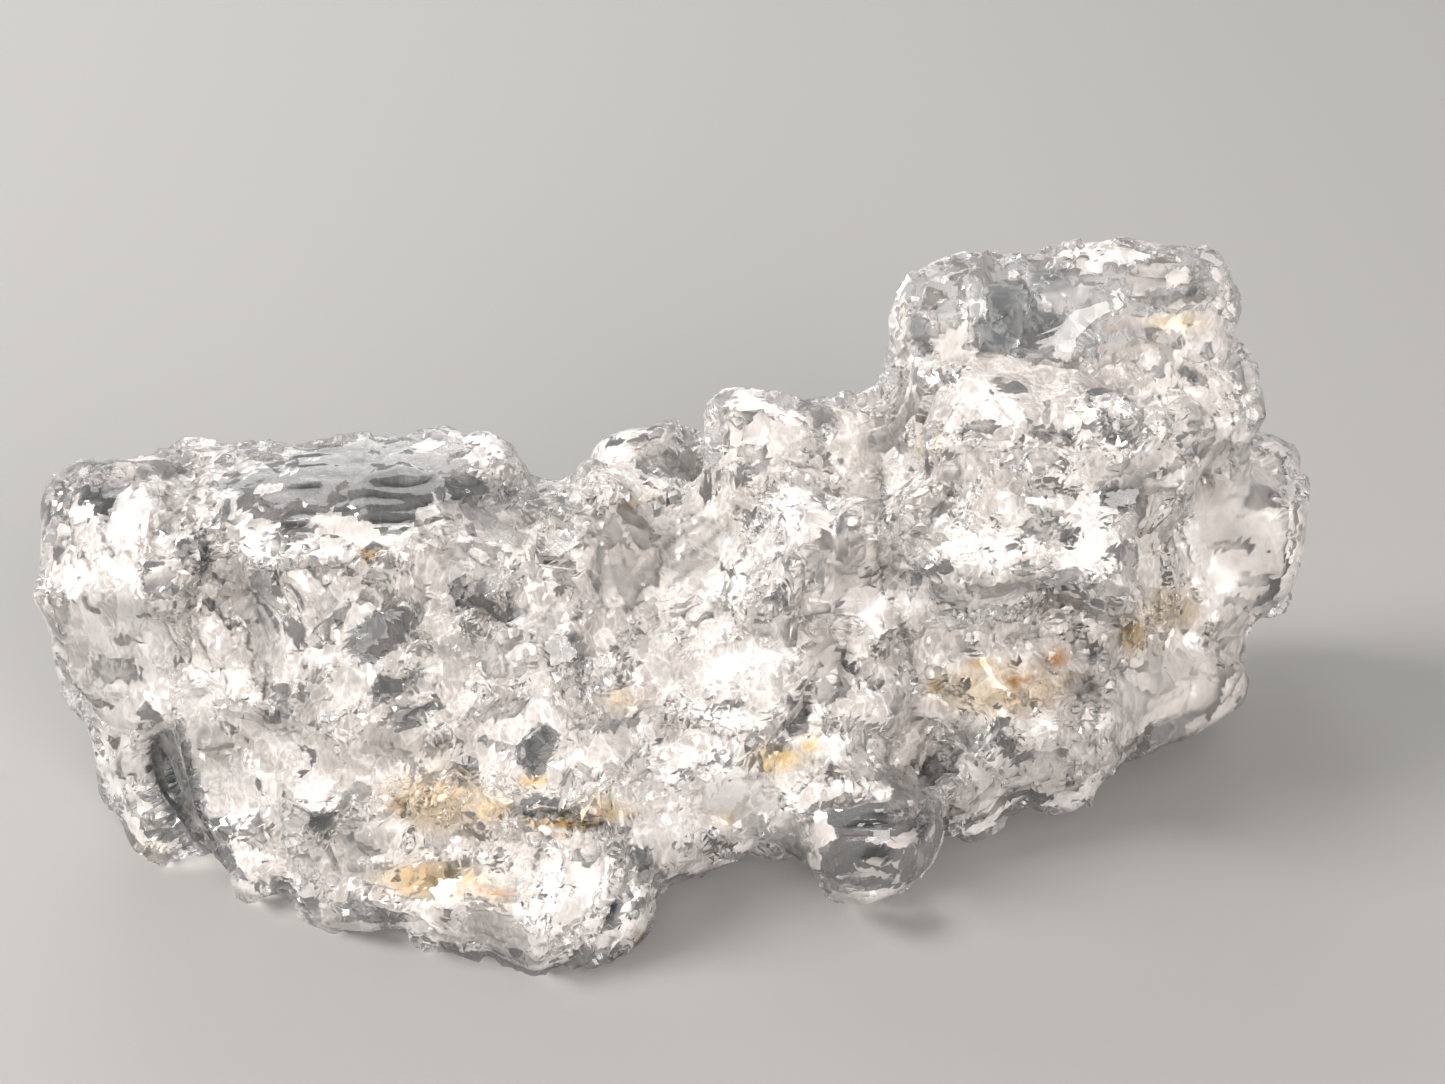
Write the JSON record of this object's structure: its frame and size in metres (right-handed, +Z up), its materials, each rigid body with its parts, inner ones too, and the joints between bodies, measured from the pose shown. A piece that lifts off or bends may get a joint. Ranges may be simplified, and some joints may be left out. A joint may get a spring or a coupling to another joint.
{
  "type": "goshenite specimen",
  "caption": "Naturally etched, colourless beryl specimen: an elongated cluster of intergrown glassy crystals that lies flat on its feet.",
  "frame": {"origin": "centre of the bounding box's lowest face, on the plane that the specimen rests on", "axes": "+X along the specimen from its low left mass to its tall right mass, +Y to its back, +Z up"},
  "size_m": [0.0496, 0.0218, 0.0205],
  "materials": {
    "beryl": "natural etched, glassy"
  },
  "bodies": {
    "root": {"goshenite_crystal": "beryl"}
  },
  "joints": []
}
